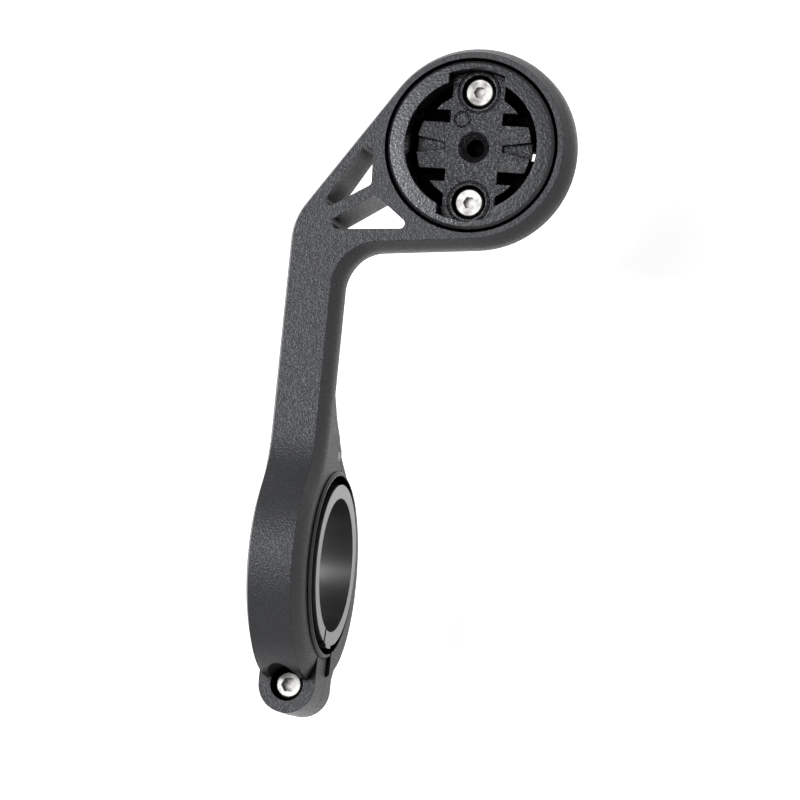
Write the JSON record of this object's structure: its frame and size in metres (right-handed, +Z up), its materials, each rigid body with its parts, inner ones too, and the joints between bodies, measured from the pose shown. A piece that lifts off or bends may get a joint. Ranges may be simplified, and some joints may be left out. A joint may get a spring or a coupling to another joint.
{
  "type": "bike computer mount",
  "caption": "Out-front handlebar mount: a hinged clamp carries a bent arm that ends in a round quarter-turn socket for a bike computer, offset to one side.",
  "frame": {"origin": "centre of the handlebar clamp's bore", "axes": "+X along the handlebar, +Y forward from the clamp to the head, +Z up"},
  "size_m": [0.054, 0.1275, 0.0447],
  "materials": {
    "arm_plastic": "fine grain, moulded",
    "disc_plastic": "smooth, moulded",
    "shim_plastic": "smooth, moulded",
    "stainless": "satin",
    "insert_brass": "turned"
  },
  "bodies": {
    "arm": {"arm_body": "arm_plastic", "hinge_pin": "stainless", "reducer_shim": "shim_plastic", "interface_disc": "disc_plastic", "disc_screw_front": "stainless", "disc_screw_rear": "stainless", "floor_insert_front": "insert_brass", "floor_insert_rear": "insert_brass"},
    "strap": {"clamp_strap": "arm_plastic", "clamp_insert": "insert_brass"},
    "bolt": {"clamp_bolt": "stainless"}
  },
  "joints": [
    {"name": "strap_hinge", "type": "hinge", "parent": "arm", "child": "strap", "pos_m": [0, 0.0205, 0.0021], "axis": [1, 0, 0], "range_deg": [0, 75]},
    {"name": "bolt_withdraw", "type": "slide", "parent": "arm", "child": "bolt", "axis": [0, 0, 1], "range_m": [0, 0.004]}
  ],
  "couplings": [
    {"joint": "bolt_withdraw", "follows": "strap_hinge", "m_per_rad": 0.00305}
  ]
}
